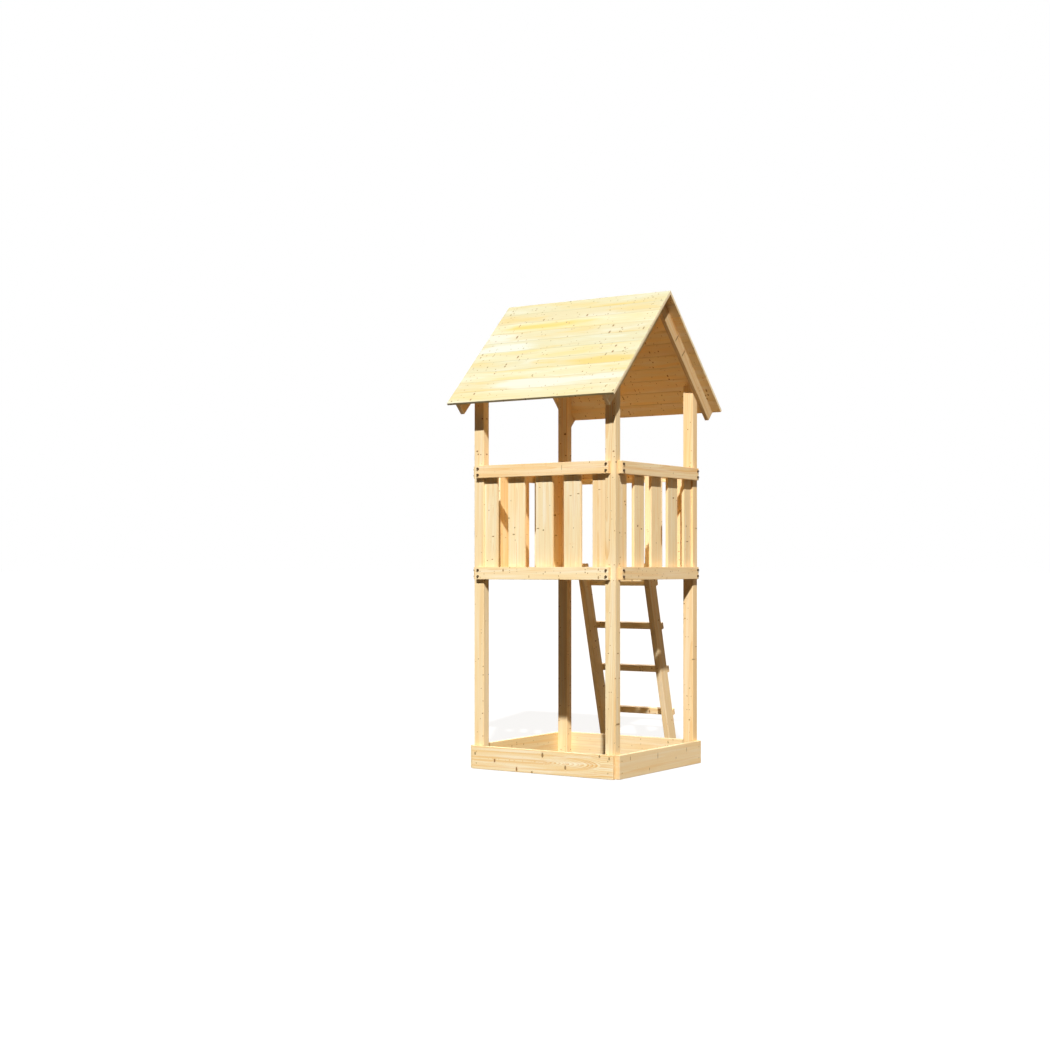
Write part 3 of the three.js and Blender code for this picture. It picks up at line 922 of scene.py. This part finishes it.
# Deck boards, two for each solid. The first and the last are notched round the posts, and
# the last reaches out through the way in.
deck = {"count": 10, "inNode": 2, "fit": 0.001}
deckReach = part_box(f"deck_boards_{deck['count'] // deck['inNode']}")[1].y
deckHalf = -deckLow.x
deckThickness = deckHigh.z - deckLow.z
deckStart, deckEnd = deckLow.y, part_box("slat_back_1")[0].y - deck["fit"]
deckWidth = (deckEnd - deckStart) / deck["count"]
notchX = postLow.x - deck["fit"]
for number in range(deck["count"]):
    name = f"deckBoard{number + 1}"
    node = f"deck_boards_{number // deck['inNode'] + 1}"
    inside = 0 < number < deck["count"] - 1
    low = deckStart + number * deckWidth
    middle = Vector((0, low + deckWidth / 2, deckLow.z + deckThickness / 2))
    if inside:
        section = matchedSection(low, deckWidth, deckThickness, "tongue", "groove")
        origin = Vector((0, 0, deckLow.z))
        bm = extrudeOutline(section, origin, acrossY, upright, 2 * deckHalf)
    else:
        if number == 0:
            outer, inner = low, low + deckWidth - matched["gap"] / 2
            notch = postHigh.y + deck["fit"]
            outline = [(-notchX, outer), (notchX, outer)]
        else:
            outer, inner = deckEnd, low + matched["gap"] / 2
            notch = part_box("post_back_right")[0].y - deck["fit"]
            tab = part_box("slat_back_2")[0].x - deck["fit"]
            outline = [(-notchX, deckReach), (tab, deckReach), (tab, outer), (notchX, outer)]
        outline += [(notchX, notch), (deckHalf, notch), (deckHalf, inner)]
        outline += [(-deckHalf, inner), (-deckHalf, notch), (-notchX, notch)]
        origin = Vector((0, 0, middle.z))
        bm = extrudeOutline(outline, origin, acrossX, acrossY, deckThickness)
        for face, size in ((deckLow.z, matched["chamfer"]), (deckHigh.z, matched["topEase"])):
            corner = Vector((0, inner, face))
            joint = [
                edge for edge in bm.edges
                if all((vert.co - corner).yz.length < tolerance for vert in edge.verts)]
            easeEdges(bm, joint, size, 1)
        bmesh.ops.recalc_face_normals(bm, faces=bm.faces)
    layGrain(bm, name, middle, acrossX, acrossY)
    placePiece(bm, name, "spruce_deck", [node])
deckSpots = []
for side in ("left", "right"):
    joistMiddle = sum(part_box(f"deck_joist_{side}"), Vector()) / 2
    for number in range(deck["count"]):
        for share in smallScrews["pair"]:
            place = Vector((joistMiddle.x, deckStart + (number + share) * deckWidth, deckHigh.z))
            deckSpots.append((place, upright))
placeSmallScrews("Deck", deckSpots)
print("deck made")

# Roof: matched boards from the ridge down, rafters on the posts' outer faces
roof = {
    "slope": math.radians(45),
    "thickness": 0.016,
    "count": 10,  # boards on each slope
    "inNode": 2,
    "seat": 0.0003,
    "rafterDepth": 0.076,
    "rafterEase": 0.003,
    # The right rafter at the back is darker and warmer, which is painted shade for the roof's overhang,
    # and it has two short checks
    "rafterLooks": {
        ("Back", "Right"): {
            "lightness": -5.0, "warmth": 1.0, "figure": (0.7, 0.7),
            "knots": [(-0.33, 0.1, 3.0, 7.0), (-0.08, 0.0, 3.0, 7.0)],
        },
    },
}
# Streaks of the front slope, from the ridge down: place and half length along the board,
# place and half width across it, and strength, below zero for pale sapwood
roofStreaks = {
    ("Front", 1): (0.5, 0.6, 0.8, 0.35, 0.9),
    ("Front", 2): (-0.9, 0.35, 0.0, 1.0, 0.4),
    ("Front", 3): (-0.25, 0.62, 0.05, 0.85, 1.0),
    ("Front", 4): (-0.9, 0.4, 0.0, 1.2, -0.9),
    ("Front", 5): (-0.7, 0.55, 0.2, 1.1, -1.0),
    ("Front", 6): (0.3, 0.7, 0.2, 0.6, 0.3),
    ("Front", 7): (0.6, 0.75, 0.2, 1.0, 0.9),
    ("Front", 8): (-0.3, 0.6, -0.8, 0.4, 0.35),
    ("Front", 9): (0.2, 1.0, 0.0, 1.1, -1.0),
    ("Front", 10): (-0.6, 0.7, -0.2, 0.5, 0.2),
}
ridgeHeight = cadBounds[1].z
eaveLow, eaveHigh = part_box(f"roof_boards_front_{roof['count'] // roof['inNode']}")
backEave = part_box(f"roof_boards_back_{roof['count'] // roof['inNode']}")[1]
ridge = Vector((0, (eaveLow.y + backEave.y) / 2, ridgeHeight))
slopeLength = (ridge.y - eaveLow.y) / math.cos(roof["slope"])
boardWidth = slopeLength / roof["count"]
roofLength = eaveHigh.x - eaveLow.x
for slopeName, sign in (("Front", -1), ("Back", 1)):
    down = Vector((0, sign * math.cos(roof["slope"]), -math.sin(roof["slope"])))
    out = Vector((0, sign * math.sin(roof["slope"]), math.cos(roof["slope"])))
    for number in range(1, roof["count"] + 1):
        firstEdge = "ridge" if number == 1 else "tongue"
        lastEdge = "square" if number == roof["count"] else "groove"
        start = (number - 1) * boardWidth
        section = matchedSection(start, boardWidth, roof["thickness"], firstEdge, lastEdge)
        name = f"roofBoard{slopeName}{number}"
        dice = random.Random(f"{name}Length")
        length = roofLength - dice.uniform(0, matched["lengthRange"])
        base = ridge - out * roof["thickness"]
        bm = extrudeOutline(section, base, down, out, length)
        middle = base + down * (start + boardWidth / 2) + out * roof["thickness"] / 2
        # The underside gets the painted shade tint
        given = {"outward": sign, "figure": (0.1, 0.35), "paintedShadeSide": -out}
        if (slopeName, number) in roofStreaks:
            given["streak"] = roofStreaks[slopeName, number]
        layGrain(bm, name, middle, acrossX, down, given)
        node = f"roof_boards_{slopeName.lower()}_{(number - 1) // roof['inNode'] + 1}"
        placePiece(bm, name, "spruce_roof_board", [node])

    top = -roof["thickness"] - roof["seat"]
    bottom = top - roof["rafterDepth"]
    reachTop = -top * math.tan(roof["slope"]) + roof["seat"]
    reachBottom = -bottom * math.tan(roof["slope"]) + roof["seat"]
    outline = [(reachBottom, bottom), (slopeLength, bottom), (slopeLength, top), (reachTop, top)]
    roofSpots = []
    for column in ("Left", "Right"):
        node = f"rafter_{slopeName}_{column}".lower()
        low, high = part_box(node)
        origin = Vector(((low.x + high.x) / 2, ridge.y, ridge.z))
        bm = extrudeOutline(outline, origin, down, out, high.x - low.x)
        middle = origin + down * slopeLength / 2 + out * (top + bottom) / 2
        finishBoard(
            bm, f"rafter{slopeName}{column}", node, "spruce_plank", roof["rafterEase"], middle, down, out,
            roof["rafterLooks"].get((slopeName, column)))
        # Two screws in each board, and two through the rafter into its post
        for number in range(roof["count"]):
            for share in smallScrews["pair"]:
                place = ridge + down * (number + share) * boardWidth
                roofSpots.append((place + acrossX * origin.x, out))
        postMiddle = sum(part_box(f"post_{slopeName}_{column}".lower()), Vector()) / 2
        outer = acrossX if origin.x > 0 else -acrossX
        place = origin + out * (top + bottom) / 2 + outer * (high.x - low.x) / 2
        place += down * (postMiddle.y - place.y) / down.y
        for offset in (-smallScrews["besideMiddle"], smallScrews["besideMiddle"]):
            roofSpots.append((place + down * offset, outer))
    placeSmallScrews(f"Roof{slopeName}", roofSpots)
print("roof made")

# Ladder: two sides with a plumb cut at the back rail, battens as rungs
ladder = {
    "reach": 0.310,  # from the rail's face to the inner edge of the foot
    "ease": 0.003,
    "rungThickness": 0.028,
    "rungWidth": 0.044,
    "rungEase": 0.0035,
    "rungs": 4,
    # The sides are a little darker and warmer than the other boards, painted shade for the tower's shadow
    # on them
    "sideLook": {"lightness": -1.0, "warmth": 0.8},
}
railLow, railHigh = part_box("rail_back_lower")
lean = math.atan(ladder["reach"] / railLow.z)
ladderUp = Vector((0, -math.sin(lean), math.cos(lean)))
ladderOut = Vector((0, math.cos(lean), math.sin(lean)))
for column in ("Left", "Right"):
    node = f"ladder_side_{column.lower()}"
    low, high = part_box(node)
    foot, top = high.y - low.y, high.z
    outline = [
        (ladder["reach"], 0), (foot, 0), (foot - top * math.tan(lean), top), (0, top), (0, railLow.z)]
    origin = Vector(((low.x + high.x) / 2, low.y, 0))
    bm = extrudeOutline(outline, origin, acrossY, upright, high.x - low.x)
    middle = Vector((origin.x, (low.y + high.y) / 2, top / 2))
    finishBoard(
        bm, f"ladderSide{column}", node, "spruce_ladder", ladder["ease"], middle, ladderUp, ladderOut,
        ladder["sideLook"])
rungSpots = []
sideMiddles = [sum(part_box(f"ladder_side_{column}"), Vector()) / 2 for column in ("left", "right")]
for number in range(1, ladder["rungs"] + 1):
    node = f"ladder_rung_{number}"
    low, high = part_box(node)
    middle = (low + high) / 2
    outline = rectangle(ladder["rungThickness"], ladder["rungWidth"])
    bm = extrudeOutline(outline, middle, ladderOut, ladderUp, high.x - low.x)
    finishBoard(
        bm, f"ladderRung{number}", node, "spruce_ladder", ladder["rungEase"], middle, acrossX, ladderUp)
    for sideMiddle in sideMiddles:
        place = middle + ladderOut * ladder["rungThickness"] / 2
        place.x = sideMiddle.x
        for offset in (-smallScrews["besideMiddle"], smallScrews["besideMiddle"]):
            rungSpots.append((place + ladderUp * offset, ladderOut))
placeSmallScrews("Ladder", rungSpots)
print("ladder made")


# Floor and light
floor = {
    "halfSize": 300.0,
    "seenColour": "#757575",
    "bounceColour": "#443725",  # what the object gets back from the ground
    "glow": 0.84,  # for the camera alone
    "glowColour": "#FFFFFF",
}
lamps = {
    "key": {"strength": 4.5, "softness": 1.2, "from": (0.412, -0.655, 0.62), "colour": "#FFFFFF"},
    "side": {"strength": 0.36, "softness": 50.0, "from": (0.97, 0.15, 0.15), "colour": "#FFD5A0"},
    "back": {"strength": 2.9, "softness": 40.0, "from": (-0.5, 0.65, 0.57), "colour": "#FFF0DA"},
}
surroundings = {"fill": 0.03, "fillColour": "#FFE2BC", "seen": 1.0, "seenColour": "#FFFFFF"}


# Where a ray comes from the camera, straight or by way of gloss or glass
def seenDirectly(tree):
    rays = addNode(tree, "LightPath", {})
    clear = addNode(tree, "Math", most, rays.outputs["Is Camera Ray"], rays.outputs["Is Glossy Ray"])
    return addNode(tree, "Math", most, clear, rays.outputs["Is Transmission Ray"])


floorMaterial = newMaterial("matPaleFloor")
tree = floorMaterial.node_tree
seen = seenDirectly(tree)
floorColour = addNode(tree, "Mix", {
    "data_type": "RGBA", 0: seen.outputs[0], 6: linearColour(floor["bounceColour"]),
    7: linearColour(floor["seenColour"])})
floorSurface = addNode(tree, "BsdfDiffuse", {"Color": floorColour.outputs[2]})
glowShare = addNode(tree, "Math", multiply, seen, floor["glow"])
glow = addNode(tree, "Emission", {"Color": linearColour(floor["glowColour"]), "Strength": glowShare})
both = addNode(tree, "AddShader", {}, floorSurface, glow)
addNode(tree, "OutputMaterial", {"Surface": both})
bm = bmesh.new()
bmesh.ops.create_grid(bm, x_segments=1, y_segments=1, size=floor["halfSize"])
floorPiece = newMeshObject(bm, "floor", floorMaterial)

world = bpy.data.worlds.new("studio")
bpy.context.scene.world = world
world.use_nodes = True
tree = world.node_tree
tree.nodes.clear()
seen = seenDirectly(tree)
skyColour = addNode(tree, "Mix", {
    "data_type": "RGBA", 0: seen.outputs[0], 6: linearColour(surroundings["fillColour"]),
    7: linearColour(surroundings["seenColour"])})
skyStrength = addNode(tree, "MapRange", {
    "Value": seen, "To Min": surroundings["fill"], "To Max": surroundings["seen"]})
sky = addNode(tree, "Background", {"Color": skyColour.outputs[2], "Strength": skyStrength})
addNode(tree, "OutputWorld", {"Surface": sky})

for name, lamp in lamps.items():
    light = bpy.data.lights.new(name, "SUN")
    light.energy = lamp["strength"]
    light.angle = math.radians(lamp["softness"])
    light.color = linearColour(lamp["colour"])[:3]
    lampPiece = newObject(name, light)
    lampPiece.rotation_mode = "QUATERNION"
    lampPiece.rotation_quaternion = Vector(lamp["from"]).to_track_quat("Z", "Y")
print("floor and light set")
